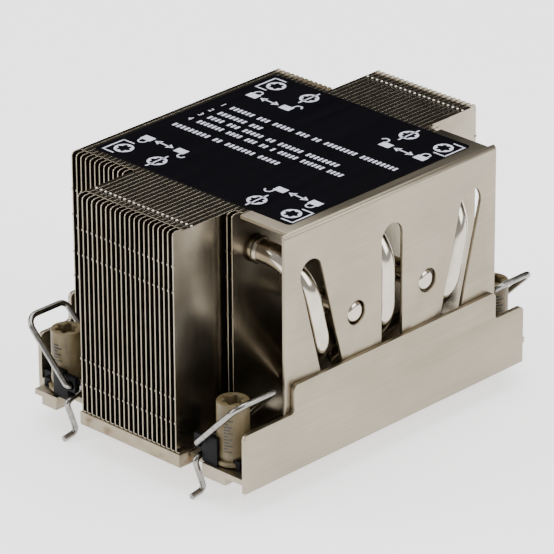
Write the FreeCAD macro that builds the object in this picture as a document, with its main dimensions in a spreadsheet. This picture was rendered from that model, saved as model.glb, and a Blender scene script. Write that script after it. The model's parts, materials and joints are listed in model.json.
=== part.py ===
"""Passive server processor heatsink: zipper fin pack, bent heat pipes, two mounting brackets.

Frame: origin at the centre of the base's contact face, +Z up through the fins, +Y along the
long axis (the air's way), +X towards the side cover. All lengths are millimetres.
"""
import FreeCAD
import Part
import Sketcher
import math
import os

Vector = FreeCAD.Vector

# Driving dimensions: alias, value, what it is.
SIZES = [
    # fin pack
    ("fin_pitch", 1.654, "from one fin to the next"),
    ("fin_sheet", 0.4, "fin sheet thickness"),
    ("pack_top", 63.6, "height of the fin tops above the contact face"),
    ("long_fin_half", 54.9, "half length of the long middle fins"),
    ("short_fin_half", 37.9, "half length of the short side fins"),
    ("fin_corner", 2.1, "cut at each top corner of a fin"),
    ("flange_setback", 2.0, "how much each fin flange ends before the web"),
    ("channel_clearance", 0.06, "between a pipe and its hole in a fin"),
    ("notch_clearance", 0.4, "over a pipe that passes under a fin"),
    ("notch_side", 1.2, "beside a pipe that passes under a fin"),
    # base plate
    ("base_thickness", 3.87, "base plate, contact face to fin seat"),
    ("strip_left", 17.2, "left edge of the long base strip"),
    ("strip_right", 18.1, "right edge of the long base strip"),
    ("strip_half", 55.4, "half length of the base strip"),
    ("block_half_x", 28.5, "half width of the middle block"),
    ("block_half_y", 37.0, "half length of the middle block"),
    ("ledge_reach", 34.0, "how far the bracket ledges stand out"),
    ("ledge_near", 27.0, "inner end of a ledge along the base"),
    ("ledge_far", 36.0, "outer end of a ledge along the base"),
    ("base_edge", 0.5, "chamfer round the contact face at the strip's ends"),
    # heat pipes
    ("pipe_radius", 3.0, "heat pipe outer radius"),
    ("pipe_spacing", 8.2, "pipe to pipe in the base"),
    ("pipe_bend", 11.0, "centre-line radius of the upper and middle bends"),
    ("pipe_base_bend", 12.0, "centre-line radius of the bend into the base"),
    ("pipe_leg", 35.3, "distance of the upright legs from the middle"),
    ("pipe_flat_width", 7.5, "width of the flattened run in the base"),
    ("pipe_flat_height", 3.2, "height of the flattened run in the base"),
    ("groove_floor", 0.65, "metal left under a pipe groove"),
    ("groove_clearance", 0.1, "beside a flattened pipe in its groove"),
    ("pipe_foot", 3.7, "height of the round pipe's axis where it reaches the base"),
    ("pipe_settle", 0.2, "straight length between the last bend and the flattening"),
    ("pipe_flatten", 6.0, "length over which a round pipe becomes flat"),
    ("pipe_flat_end", 24.0, "where the flattened run ends"),
    ("pipe_tip_past", 1.3, "pipe end past the outermost fin"),
    ("outer_run", 52.0, "height of the three upper pipes"),
    ("outer_run_y", 29.3, "side offset of the two outer upper pipes"),
    ("outer_knee", 28.0, "height of the knee of the upper pipes"),
    ("outer_foot_x", 11.3, "where the upper pipes reach the base"),
    ("inner_run", 34.75, "height of the two lower pipes"),
    ("inner_run_y", 13.0, "side offset of the two lower pipes"),
    ("inner_knee", 19.0, "height of the knee of the lower pipes"),
    ("inner_knee_y", 11.0, "side offset of the knee of the lower pipes"),
    ("inner_foot_x", 20.0, "where the lower pipes reach the base"),
    # side cover
    ("cover_outer", 38.3, "outer face of the side cover"),
    ("cover_sheet", 1.0, "cover sheet thickness"),
    ("cover_half", 38.4, "half length of the cover's wall"),
    ("cover_top_half", 36.3, "half length of the cover's top"),
    ("cover_bend", 1.3, "outer bend radius of the cover"),
    ("slot_half_width", 3.84, "half width of the pipe slots"),
    ("slot_lean", 0.258, "side step of the outer slots for each millimetre of height"),
    ("slot_top", 50.8, "centre of the slots' upper end"),
    ("slot_bottom", 16.5, "centre of the slots' lower end"),
    ("cover_hole", 3.2, "radius of the two pipe-end holes"),
    # brackets
    ("bracket_seat", 2.1, "underside of a bracket flange"),
    ("bracket_sheet", 1.5, "thickness of a bracket flange"),
    ("wall_outer", 39.6, "outer face of a bracket wall"),
    ("wall_sheet", 1.2, "thickness of a bracket wall"),
    ("wall_long_end", 53.9, "wall end at the bracket's long end"),
    ("wall_short_end", 48.3, "wall end at the bracket's short end"),
    ("wall_low", 15.9, "height of the wall's shoulders"),
    ("wall_high", 23.4, "height of the wall's raised middle"),
    ("wall_high_long", 36.5, "end of the raised middle towards the long end"),
    ("wall_high_short", 37.5, "end of the raised middle towards the short end"),
    ("wall_corner", 1.5, "outer corner radius of the wall"),
    ("wall_inner_corner", 1.0, "radius where shoulder meets raised middle"),
    ("flange_inner", 18.5, "inner edge of a flange beside the base strip"),
    ("flange_corner", 35.2, "outer edge of a flange past the short wall end"),
    ("flange_end", 53.9, "flange end along the bracket"),
    ("flange_gap", 0.2, "between a flange and the base block or cover"),
    ("notch_long_y", 51.8, "depth of the hook notch at the long end"),
    ("notch_short_x", 27.2, "outer edge of the hook notch at the short end"),
    ("notch_short_y", 49.6, "depth of the hook notch at the short end"),
    ("boss_long_x", 24.6, "inner face of the boss at the long end"),
    ("boss_short_x", 27.4, "inner face of the boss at the short end"),
    ("boss_outer_x", 32.6, "outer face of both bosses"),
    ("boss_inner_y", 43.9, "inner end of both bosses"),
    # captive nuts
    ("nut_x", 29.4, "nut centre from the middle, across"),
    ("nut_y", 47.7, "nut centre from the middle, along"),
    ("nut_radius", 4.25, "nut barrel"),
    ("nut_top", 20.4, "top of the nut"),
    ("nut_bore", 2.1, "threaded bore for the board's stud"),
    ("nut_bore_depth", 9.0, "depth of the bore"),
    ("nut_collar", 4.9, "radius of the collar that keeps the nut in"),
    ("nut_collar_height", 1.2, "height of that collar"),
    ("socket_point", 2.9, "star socket, centre to point"),
    ("socket_valley", 2.1, "star socket, centre to valley"),
    ("socket_depth", 3.4, "depth of the star socket"),
    ("stud_hole", 2.7, "radius of the bracket hole for the board's stud"),
    ("running_gap", 0.3, "between pieces that move past each other"),
    ("join", 1.0, "how far a pad runs into its neighbour, or a cut past a face"),
    # nut carriers
    ("carrier_inner_x", 21.2, "inner edge of a carrier"),
    ("carrier_outer_x", 34.8, "outer edge of a carrier's plate"),
    ("plate_front", 51.0, "front edge of a carrier's plate, where the nut's collar shows"),
    ("carrier_plate", 2.4, "height of a carrier's plate"),
    ("carrier_lip", 0.8, "thickness of the lip over the nut's collar"),
    ("ear_width", 5.0, "width of a hinge ear"),
    ("ear_top", 10.6, "top of the hinge ears"),
    ("ear_sheet", 1.5, "thickness of the outer hinge ear"),
    ("inner_ear_sheet", 1.1, "thickness of the inner hinge ear"),
    ("rib_width", 2.9, "width of the upright rib beside the outer ear"),
    ("rib_top", 11.3, "top of that rib"),
    ("hook_slot_y", 47.9, "inner end of the slot that the wire's hook comes out of"),
    ("hook_slot_top", 6.5, "top of that slot"),
    ("stop_inner_x", 35.2, "inner face of the carrier's stop beside the wall"),
    ("stop_top", 6.0, "top of that stop"),
    ("stop_near_y", 43.6, "inner end of that stop"),
    ("stop_far_y", 47.9, "outer end of that stop"),
    # anti-tilt wires
    ("wire_radius", 0.8, "wire radius"),
    ("hinge_x", 22.8, "hinge axis from the middle"),
    ("hinge_height", 8.3, "height of the hinge axis"),
    ("wire_outer_y", 54.2, "plane of the outer arm"),
    ("wire_inner_y", 40.6, "plane of the inner arm"),
    ("wire_arm", 20.6, "hinge axis to the far bar"),
    ("wire_lean", 45.0, "locked lean of the wires, degrees from upright"),
    ("wire_outer_bend", 3.5, "centre-line radius between the outer arm and the far bar"),
    ("wire_inner_bend", 2.0, "centre-line radius between the far bar and the inner arm"),
    ("wire_pin_bend", 1.1, "centre-line radius at the hinge pins and above the hook"),
    ("stub_end", 50.9, "inner end of the outer arm's short pin"),
    ("drop_y", 49.3, "where the long pin turns down towards the hook"),
    ("drop_foot", 2.9, "hinge axis down to where the wire turns out to the hook"),
    ("hook_neck", 4.2, "hinge axis down to the hook's neck"),
    ("hook_neck_y", 54.6, "hook's neck from the middle, along"),
    ("hook_heel", 13.4, "hinge axis down to the hook's heel"),
    ("hook_heel_y", 51.4, "heel from the middle, along"),
    ("hook_tip", 14.1, "hinge axis down to the hook's tip"),
    ("hook_tip_y", 56.0, "tip from the middle, along"),
    ("hook_bend", 1.3, "centre-line radius of the hook's neck and heel"),
    # label
    ("label_left", 33.9, "left edge of the label"),
    ("label_right", 34.4, "right edge of the label"),
    ("label_front", 32.6, "front edge of the label"),
    ("label_back", 33.2, "back edge of the label"),
    ("label_corner", 0.8, "cut at each corner of the label"),
    ("label_film", 0.2, "label thickness"),
]

LEFT_SHORT_FINS = 12
LONG_FINS = 21
RIGHT_SHORT_FINS = 2
INNER_FIN_HOLE_SIDES = 4
OUTER_FIN_HOLE_SIDES = 12
PIPE_SIDES = 12
PIPE_BEND_STEPS = 5
WIRE_SIDES = 6
WIRE_BEND_STEPS = 3
SOCKET_POINTS = 6
NUT_SIDES = 20

doc = FreeCAD.newDocument("heatsink")
sheet = doc.addObject("Spreadsheet::Sheet", "sizes")


class Size:
    """A number from the sheet, or worked out from such numbers, together with its formula."""

    def __init__(self, value, formula):
        self.value = value
        self.formula = formula

    def __float__(self):
        return self.value

    def __neg__(self):
        return Size(-self.value, f"-({self.formula})")

    def __add__(self, other):
        other = as_size(other)
        return Size(self.value + other.value, f"({self.formula} + {other.formula})")

    def __sub__(self, other):
        other = as_size(other)
        return Size(self.value - other.value, f"({self.formula} - {other.formula})")

    def __mul__(self, other):
        other = as_size(other)
        return Size(self.value * other.value, f"({self.formula} * {other.formula})")

    def __truediv__(self, other):
        other = as_size(other)
        return Size(self.value / other.value, f"({self.formula} / {other.formula})")

    def __radd__(self, other):
        return as_size(other) + self

    def __rmul__(self, other):
        return as_size(other) * self


def as_size(number):
    """Give a plain number the same form as a sheet value."""
    if isinstance(number, Size):
        return number
    return Size(float(number), f"{float(number):.9f}")


class Sheet:
    """The driving dimensions as attributes, such as s.fin_pitch."""


def fill_sheet():
    """Write every driving dimension to the sheet and return them as Size attributes."""
    values = Sheet()
    for row, (alias, value, note) in enumerate(SIZES, start=1):
        sheet.set(f"A{row}", str(value))
        sheet.setAlias(f"A{row}", alias)
        sheet.set(f"B{row}", note)
    doc.recompute()
    for alias, value, note in SIZES:
        setattr(values, alias, Size(float(sheet.get(alias)), f"sizes.{alias}"))
    return values


s = fill_sheet()
zero = as_size(0)


def point(x, y, z):
    """A vector from sheet values."""
    return Vector(float(x), float(y), float(z))


def bind(thing, prop, size):
    """Drive one property of an object by a formula over the sheet."""
    thing.setExpression(prop, as_size(size).formula)


# ---------------------------------------------------------------- sketch and feature helpers

PLANE_SIGN = {"XY_Plane": 1, "YZ_Plane": 1, "XZ_Plane": -1}


def new_body(name):
    """An empty body whose label is the name of its sub-part."""
    body = doc.addObject("PartDesign::Body", name)
    body.Label = name
    return body


def new_sketch(body, name, role, level):
    """A sketch on one of the body's origin planes, at a level along that plane's axis."""
    sketch = body.newObject("Sketcher::SketchObject", name)
    plane = [item for item in body.Origin.OriginFeatures if item.Role == role][0]
    sketch.AttachmentSupport = [(plane, "")]
    sketch.MapMode = "FlatFace"
    bind(sketch, "AttachmentOffset.Base.z", as_size(level) * PLANE_SIGN[role])
    return sketch


def pin_down(sketch, geometry, end, x, y):
    """Fix one end or centre of a sketch element at a place driven by the sheet."""
    for kind, place in (("DistanceX", x), ("DistanceY", y)):
        place = as_size(place)
        row = sketch.addConstraint(
            Sketcher.Constraint(kind, -1, 1, geometry, end, float(place)))
        sketch.setExpression(f"Constraints[{row}]", place.formula)


def direction(start, end):
    """Axis direction, as signs, from one sketch point to another."""
    steps = []
    for low, high in zip(start, end):
        gap = float(high) - float(low)
        steps.append(0 if abs(gap) < 1e-9 else math.copysign(1, gap))
    return steps


def draw_outline(sketch, corners):
    """Draw a closed outline. A corner is (x, y), or (x, y, radius) between axis-parallel sides."""
    corners = [tuple(as_size(number) for number in corner) for corner in corners]
    ends = []
    for index, corner in enumerate(corners):
        if len(corner) == 2:
            ends.append((corner, corner, None))
            continue
        x, y, radius = corner
        back = direction(corner[:2], corners[index - 1][:2])
        ahead = direction(corner[:2], corners[(index + 1) % len(corners)][:2])
        first = (x + radius * back[0], y + radius * back[1])
        last = (x + radius * ahead[0], y + radius * ahead[1])
        centre = (x + radius * (back[0] + ahead[0]), y + radius * (back[1] + ahead[1]))
        ends.append((first, last, (centre, radius)))
    previous = None
    opening = None
    for index, (first, last, rounding) in enumerate(ends):
        if rounding:
            centre, radius = rounding
            middle = point(centre[0], centre[1], 0)
            towards = point(corners[index][0], corners[index][1], 0) - middle
            towards.normalize()
            arc = Part.Arc(point(*first, 0), middle + towards * float(radius), point(*last, 0))
            bend = sketch.addGeometry(arc, False)
            forward = (sketch.getPoint(bend, 1) - point(*first, 0)).Length < 1e-6
            head, tail = (1, 2) if forward else (2, 1)
            pin_down(sketch, bend, head, *first)
            pin_down(sketch, bend, tail, *last)
            row = sketch.addConstraint(Sketcher.Constraint("Radius", bend, float(radius)))
            sketch.setExpression(f"Constraints[{row}]", radius.formula)
            if previous is not None:
                sketch.addConstraint(Sketcher.Constraint("Coincident", previous, 2, bend, head))
            else:
                opening = (bend, head)
            joint = (bend, tail)
        else:
            joint = None
        follower = ends[(index + 1) % len(ends)][0]
        line = Part.LineSegment(point(*last, 0), point(*follower, 0))
        side = sketch.addGeometry(line, False)
        if joint:
            sketch.addConstraint(Sketcher.Constraint("Coincident", *joint, side, 1))
        else:
            pin_down(sketch, side, 1, *last)
            if previous is not None:
                sketch.addConstraint(Sketcher.Constraint("Coincident", previous, 2, side, 1))
            else:
                opening = (side, 1)
        previous = side
    sketch.addConstraint(Sketcher.Constraint("Coincident", previous, 2, *opening))


def draw_circle(sketch, x, y, radius):
    """A circle with a driven centre and radius."""
    radius = as_size(radius)
    ring = sketch.addGeometry(Part.Circle(point(x, y, 0), Vector(0, 0, 1), float(radius)), False)
    pin_down(sketch, ring, 3, x, y)
    row = sketch.addConstraint(Sketcher.Constraint("Radius", ring, float(radius)))
    sketch.setExpression(f"Constraints[{row}]", radius.formula)


def draw_slot(sketch, low, high, radius):
    """A round-ended slot between two centres."""
    foot = point(*low, 0)
    head = point(*high, 0)
    along = (head - foot).normalize()
    side = Vector(-along.y, along.x, 0) * float(radius)
    end = along * float(radius)
    top = sketch.addGeometry(Part.Arc(head - side, head + end, head + side), False)
    left = sketch.addGeometry(Part.LineSegment(head + side, foot + side), False)
    base = sketch.addGeometry(Part.Arc(foot + side, foot - end, foot - side), False)
    right = sketch.addGeometry(Part.LineSegment(foot - side, head - side), False)
    for first, second in ((top, left), (left, base), (base, right), (right, top)):
        sketch.addConstraint(Sketcher.Constraint("Tangent", first, 2, second, 1))
    sketch.addConstraint(Sketcher.Constraint("Equal", top, base))
    pin_down(sketch, top, 3, *high)
    pin_down(sketch, base, 3, *low)
    row = sketch.addConstraint(Sketcher.Constraint("Radius", top, float(radius)))
    sketch.setExpression(f"Constraints[{row}]", radius.formula)


def pad(body, name, role, draw, low, high):
    """Pad a sketch from one level to another along the plane's axis."""
    low, high = as_size(low), as_size(high)
    sketch = new_sketch(body, f"{name}_sketch", role, high if role == "XZ_Plane" else low)
    draw(sketch)
    feature = body.newObject("PartDesign::Pad", name)
    feature.Profile = sketch
    bind(feature, "Length", high - low)
    return feature


def pocket(body, name, role, draw, low, high):
    """Cut a sketch from one level to another along the plane's axis."""
    low, high = as_size(low), as_size(high)
    sketch = new_sketch(body, f"{name}_sketch", role, low if role == "XZ_Plane" else high)
    draw(sketch)
    feature = body.newObject("PartDesign::Pocket", name)
    feature.Profile = sketch
    bind(feature, "Length", high - low)
    return feature


def outline(*corners):
    """A drawing function for one closed outline."""
    return lambda sketch: draw_outline(sketch, corners)


def rectangle(x_low, y_low, x_high, y_high):
    """A drawing function for a rectangle."""
    return outline((x_low, y_low), (x_high, y_low), (x_high, y_high), (x_low, y_high))


def polygon_rim(centre, first, second, radius, sides):
    """The corners of a regular polygon spanned by two unit vectors, half a side turned."""
    turns = [math.pi * (2 * step + 1) / sides for step in range(sides)]
    return [centre + first * (radius * math.cos(turn)) + second * (radius * math.sin(turn))
            for turn in turns]


def rod_sections(rim, points, radii, steps):
    """Sections of a bent rod: the rim carried along straight runs and tangent arcs.

    Each arc is divided into equal steps, so that a rod has the same few flat faces however
    tight its bends are.
    """
    sections = [rim]
    place = points[0]
    for before, corner, after, radius in zip(points, points[1:], points[2:], radii):
        back = (before - corner).normalize()
        ahead = (after - corner).normalize()
        half_angle = back.getAngle(ahead) / 2
        reach = radius / math.tan(half_angle)
        entry = corner + back * reach
        rim = [spot + (entry - place) for spot in rim]
        sections.append(rim)
        centre = corner + (back + ahead).normalize() * (radius / math.sin(half_angle))
        axis = ahead.cross(back).normalize()
        turn = math.degrees(math.pi - 2 * half_angle) / steps
        for step in range(steps):
            rotation = FreeCAD.Rotation(axis, turn)
            rim = [centre + rotation.multVec(spot - centre) for spot in rim]
            sections.append(rim)
        place = corner + ahead * reach
    sections.append([spot + (points[-1] - place) for spot in rim])
    return sections


def loft(sections):
    """A solid through sections that all have the same number of corners.

    The ruled faces between many-sided sections are flat, or nearly, so each is made a true plane,
    or two where its four corners aren't level.
    """
    rims = [Part.makePolygon(rim + rim[:1]) for rim in sections]
    faces = []
    for face in Part.makeLoft(rims, True, True).Faces:
        spots = [vertex.Point for vertex in face.OuterWire.OrderedVertexes]
        if face.findPlane():
            patches = [spots]
        else:
            patches = [spots[:3], spots[2:] + spots[:1]]
        faces.extend(Part.Face(Part.makePolygon(patch + patch[:1])) for patch in patches)
    shell = Part.makeShell(faces)
    shell.sewShape()
    return Part.makeSolid(shell)


def as_feature(name, shape):
    """A sub-part whose shape is set directly."""
    feature = doc.addObject("Part::Feature", name)
    feature.Label = name
    feature.Shape = shape
    feature.Placement = FreeCAD.Placement()
    return feature


# ---------------------------------------------------------------- heat pipes

class PipeRoute:
    """Centre-line points of one heat pipe. side is +1 where its leg stands at the cover."""

    def __init__(self, side, row, run_height, run_y, knee_height, knee_y, foot_x, tip_x):
        base_y = s.pipe_spacing * row
        self.side = side
        self.base_y = base_y
        self.run_height = run_height
        self.run_y = run_y
        self.tip = point(-side * tip_x, run_y, run_height)
        self.shoulder = point(side * s.pipe_leg, run_y, run_height)
        self.knee = point(side * s.pipe_leg, knee_y, knee_height)
        self.foot = point(side * foot_x, base_y, s.pipe_foot)

    def round_end(self):
        """Where the round tube stops and begins to flatten, past the bend into the base."""
        down = (self.knee - self.foot).normalize()
        turn = math.pi - down.getAngle(Vector(-self.side, 0, 0))
        reach = float(s.pipe_base_bend) * math.tan(turn / 2)
        return self.foot - Vector(self.side * (reach + float(s.pipe_settle)), 0, 0)


def pipe_routes():
    """The three pipes that rise beside the cover, then the two that rise on the far side."""
    routes = []
    left_tip = s.fin_pitch * (LEFT_SHORT_FINS + LONG_FINS // 2) + s.pipe_tip_past
    for row in (-2, 0, 2):
        knee_y = s.outer_run_y * (row / 2) - s.slot_lean * (s.outer_run - s.outer_knee) * (row / 2)
        routes.append(PipeRoute(1, row, s.outer_run, s.outer_run_y * (row / 2), s.outer_knee,
                                knee_y, s.outer_foot_x, left_tip))
    for row in (-1, 1):
        routes.append(PipeRoute(-1, row, s.inner_run, s.inner_run_y * row, s.inner_knee,
                                s.inner_knee_y * row, s.inner_foot_x, s.cover_outer))
    return routes


def flat_rim(x, y):
    """The flattened pipe's round-ended section at x, corner for corner with the round one."""
    half_height = float(s.pipe_flat_height) / 2
    half_straight = float(s.pipe_flat_width) / 2 - half_height
    middle = Vector(x, float(y), float(s.groove_floor) + half_height)
    rim = polygon_rim(middle, Vector(0, 1, 0), Vector(0, 0, 1), half_height, PIPE_SIDES)
    return [spot + Vector(0, math.copysign(half_straight, spot.y - middle.y), 0)
            for spot in rim]


def make_pipe(name, route):
    """One heat pipe: round along its bends, flattened where it lies in the base."""
    round_end = route.round_end()
    rim = polygon_rim(route.tip, Vector(0, 1, 0), Vector(0, 0, 1), float(s.pipe_radius),
                      PIPE_SIDES)
    sections = rod_sections(rim, [route.tip, route.shoulder, route.knee, route.foot, round_end],
                            [float(s.pipe_bend), float(s.pipe_bend), float(s.pipe_base_bend)],
                            PIPE_BEND_STEPS)
    flat_x = round_end.x - route.side * float(s.pipe_flatten)
    sections.append(in_step(flat_rim(flat_x, route.base_y), sections[-1], round_end))
    sections.append(in_step(flat_rim(-route.side * float(s.pipe_flat_end), route.base_y),
                            sections[-2], round_end))
    return as_feature(name, loft(sections))


def in_step(rim, earlier, centre):
    """The rim's corners in the order of an earlier section's, the one at the same side first."""
    middle = Vector(0, 0, 0)
    for spot in rim:
        middle = middle + spot * (1 / len(rim))

    def turn(spot, about):
        return math.atan2(spot.z - about.z, spot.y - about.y)

    start = turn(earlier[0], centre)
    forward = math.sin(turn(earlier[1], centre) - start) > 0
    ordered = rim if forward else rim[::-1]
    gaps = [abs(math.remainder(turn(spot, middle) - start, 2 * math.pi)) for spot in ordered]
    first = gaps.index(min(gaps))
    return ordered[first:] + ordered[:first]


# ---------------------------------------------------------------- fins

def run_prism(route, sides, x_low, x_high):
    """The hole that a pipe's level run needs in the fins, many-sided round the pipe."""
    reach = float(s.pipe_radius + s.channel_clearance) / math.cos(math.pi / sides)
    centre = point(x_low, route.run_y, route.run_height)
    rim = polygon_rim(centre, Vector(0, 1, 0), Vector(0, 0, 1), reach, sides)
    return Part.Face(Part.makePolygon(rim + rim[:1])).extrude(Vector(x_high - x_low, 0, 0))


def descent_prism(route):
    """Everything under a pipe's slanted run, so that the fins can be pressed on from above."""
    side = route.side
    half_width = float(s.pipe_radius + s.notch_side)
    lift = float(s.pipe_radius + s.notch_clearance)
    slope = (route.knee - route.foot).normalize()
    angle = math.atan2(slope.z, side * slope.x)
    turn = math.pi - (route.knee - route.foot).getAngle(Vector(-side, 0, 0))
    base_reach = float(s.pipe_base_bend) * math.tan(turn / 2)
    knee_turn = slope.getAngle(route.shoulder - route.knee)
    knee_reach = float(s.pipe_bend) * math.tan(knee_turn / 2)
    over = Vector(-side * math.sin(angle) * lift, 0, math.cos(angle) * lift)
    round_end = route.round_end()
    flat_top = Vector(round_end.x - side * float(s.pipe_flatten), route.foot.y,
                      float(s.base_thickness) - 0.01)
    bend_start = route.foot - Vector(side * base_reach, 0, 0)
    bend_end = route.foot + slope * base_reach
    knee_start = route.knee - slope * knee_reach
    leg_edge = Vector(side * (float(s.pipe_leg) - lift), route.knee.y,
                      route.knee.z + knee_reach)
    leg_far = Vector(side * (float(s.pipe_leg) + lift), route.knee.y, leg_edge.z)
    roof = [flat_top, bend_start + Vector(0, 0, lift), bend_end + over, knee_start + over,
            leg_edge, leg_far]
    floor = lower(roof, -float(s.join))
    pieces = []
    for near, far, near_low, far_low in zip(roof, roof[1:], floor, floor[1:]):
        wall = Part.makePolygon([near, far, far_low, near_low, near])
        face = Part.Face(wall)
        face.translate(Vector(0, -half_width, 0))
        pieces.append(face.extrude(Vector(0, 2 * half_width, 0)))
    return pieces


def lower(points, level):
    """The same points moved straight down to one level."""
    return [Vector(spot.x, spot.y, level) for spot in points]


def leg_prism(route):
    """The slot for an upright leg and the bend above it, open at the fin's foot."""
    half_width = float(s.pipe_radius + s.notch_clearance)
    roof = route.shoulder.z + half_width
    floor = -float(s.join)
    rim = [(route.shoulder.y - half_width, roof), (route.shoulder.y + half_width, roof),
           (route.knee.y + half_width, route.knee.z), (route.knee.y + half_width, floor),
           (route.knee.y - half_width, floor), (route.knee.y - half_width, route.knee.z)]
    bend_start = route.side * float(s.pipe_leg - s.pipe_bend)
    corners = [Vector(bend_start, y, z) for y, z in rim]
    face = Part.Face(Part.makePolygon(corners + corners[:1]))
    return face.extrude(Vector(route.side * (float(s.pipe_bend) + half_width), 0, 0))


def make_channels(name, routes, sides, x_low, x_high):
    """One solid to cut from the fins: the level runs, the slanted runs and the upright legs."""
    pieces = []
    for route in routes:
        pieces.append(run_prism(route, sides, x_low, x_high))
        pieces.extend(descent_prism(route))
        if route.side < 0:
            pieces.append(leg_prism(route))
    return as_feature(name, pieces[0].multiFuse(pieces[1:]).removeSplitter())


def make_fin(name, step, half, channels):
    """One folded fin: a web, and two flanges that close the gap to the next fin."""
    body = new_body(f"{name}_sheet")
    web_left = s.fin_pitch * step - s.fin_sheet / 2
    web_right = web_left + s.fin_sheet
    corner = s.fin_corner
    web = outline((-half, s.base_thickness), (half, s.base_thickness),
                  (half, s.pack_top - corner), (half - corner, s.pack_top),
                  (corner - half, s.pack_top), (-half, s.pack_top - corner))
    pad(body, f"{name}_web", "YZ_Plane", web, web_left, web_right)
    reach = half - s.flange_setback - s.fin_corner / 2
    next_fin = web_left + s.fin_pitch
    top = rectangle(web_left, s.pack_top - s.fin_sheet, next_fin, s.pack_top)
    pad(body, f"{name}_top", "XZ_Plane", top, -reach, reach)
    foot = rectangle(web_left, s.base_thickness, next_fin, s.base_thickness + s.fin_sheet)
    pad(body, f"{name}_foot", "XZ_Plane", foot, -half, half)
    fin = doc.addObject("Part::Cut", name)
    fin.Label = name
    fin.Base = body
    fin.Tool = channels
    fin.Refine = True
    return fin


# ---------------------------------------------------------------- base plate

def make_base(routes):
    """The base: a long strip, a wider middle block, ledges for the brackets, pipe grooves."""
    body = new_body("base_plate")
    strip = rectangle(-s.strip_left, -s.strip_half, s.strip_right, s.strip_half)
    pad(body, "base_strip", "XY_Plane", strip, zero, s.base_thickness)
    block = rectangle(-s.block_half_x, -s.block_half_y, s.block_half_x, s.block_half_y)
    pad(body, "base_block", "XY_Plane", block, zero, s.base_thickness)
    for side in (-1, 1):
        for end in (-1, 1):
            x_low, x_high = sorted([side * (s.block_half_x - s.join), side * s.ledge_reach],
                                   key=float)
            y_low, y_high = sorted([end * s.ledge_near, end * s.ledge_far], key=float)
            ledge = rectangle(x_low, y_low, x_high, y_high)
            pad(body, f"base_ledge_{side + 1}{end + 1}", "XY_Plane", ledge, zero, s.bracket_seat)
    for end in (-1, 1):
        tip = as_size(end) * s.strip_half
        inward = tip - end * s.base_edge
        wedge = outline((tip, zero), (inward, zero), (tip, s.base_edge))
        pocket(body, f"base_edge_{end + 1}", "YZ_Plane", wedge, -s.strip_left, s.strip_right)
    half_groove = s.pipe_flat_width / 2 + s.groove_clearance
    for number, route in enumerate(routes, start=1):
        groove = rectangle(-s.block_half_x, route.base_y - half_groove,
                           s.block_half_x, route.base_y + half_groove)
        pocket(body, f"base_groove_{number}", "XY_Plane", groove, s.groove_floor,
               s.base_thickness)
    return body


# ---------------------------------------------------------------- brackets

def make_bracket(name, turn):
    """One bracket, modelled as the right-hand one, with its long end towards -Y."""
    body = new_body(name)
    corner, inner = s.wall_corner, s.wall_inner_corner
    wall = outline((-s.wall_long_end, zero), (s.wall_short_end, zero),
                   (s.wall_short_end, s.wall_low, corner),
                   (s.wall_high_short, s.wall_low, inner),
                   (s.wall_high_short, s.wall_high, corner),
                   (-s.wall_high_long, s.wall_high, corner),
                   (-s.wall_high_long, s.wall_low, inner),
                   (-s.wall_long_end, s.wall_low, corner))
    pad(body, f"{name}_wall", "YZ_Plane", wall, s.wall_outer - s.wall_sheet, s.wall_outer)
    block_x = s.block_half_x + s.flange_gap
    block_y = s.block_half_y + s.flange_gap
    wall_inside = s.wall_outer - s.wall_sheet / 2
    flange = outline((block_x, -block_y), (s.flange_inner, -block_y),
                     (s.flange_inner, -s.notch_long_y), (s.boss_long_x, -s.notch_long_y),
                     (s.boss_long_x, -s.flange_end), (wall_inside, -s.flange_end),
                     (wall_inside, s.wall_short_end), (s.flange_corner, s.wall_short_end),
                     (s.flange_corner, s.flange_end), (s.notch_short_x, s.flange_end),
                     (s.notch_short_x, s.notch_short_y), (s.flange_inner, s.notch_short_y),
                     (s.flange_inner, block_y), (block_x, block_y))
    top = s.bracket_seat + s.bracket_sheet
    pad(body, f"{name}_flange", "XY_Plane", flange, s.bracket_seat, top)
    long_boss = rectangle(s.boss_long_x, -s.flange_end, s.boss_outer_x, -s.boss_inner_y)
    pad(body, f"{name}_long_boss", "XY_Plane", long_boss, zero, top)
    short_boss = rectangle(s.boss_short_x, s.boss_inner_y, s.boss_outer_x, s.flange_end)
    pad(body, f"{name}_short_boss", "XY_Plane", short_boss, zero, top)
    for number, end in enumerate((-1, 1), start=1):
        hole = circle(s.nut_x, end * s.nut_y, s.stud_hole)
        pocket(body, f"{name}_stud_{number}", "XY_Plane", hole, zero, top)
    body.Placement = FreeCAD.Placement(Vector(0, 0, 0), FreeCAD.Rotation(Vector(0, 0, 1), turn))
    return body


def circle(x, y, radius):
    """A drawing function for a circle."""
    return lambda sketch: draw_circle(sketch, x, y, radius)


# ---------------------------------------------------------------- side cover

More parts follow.
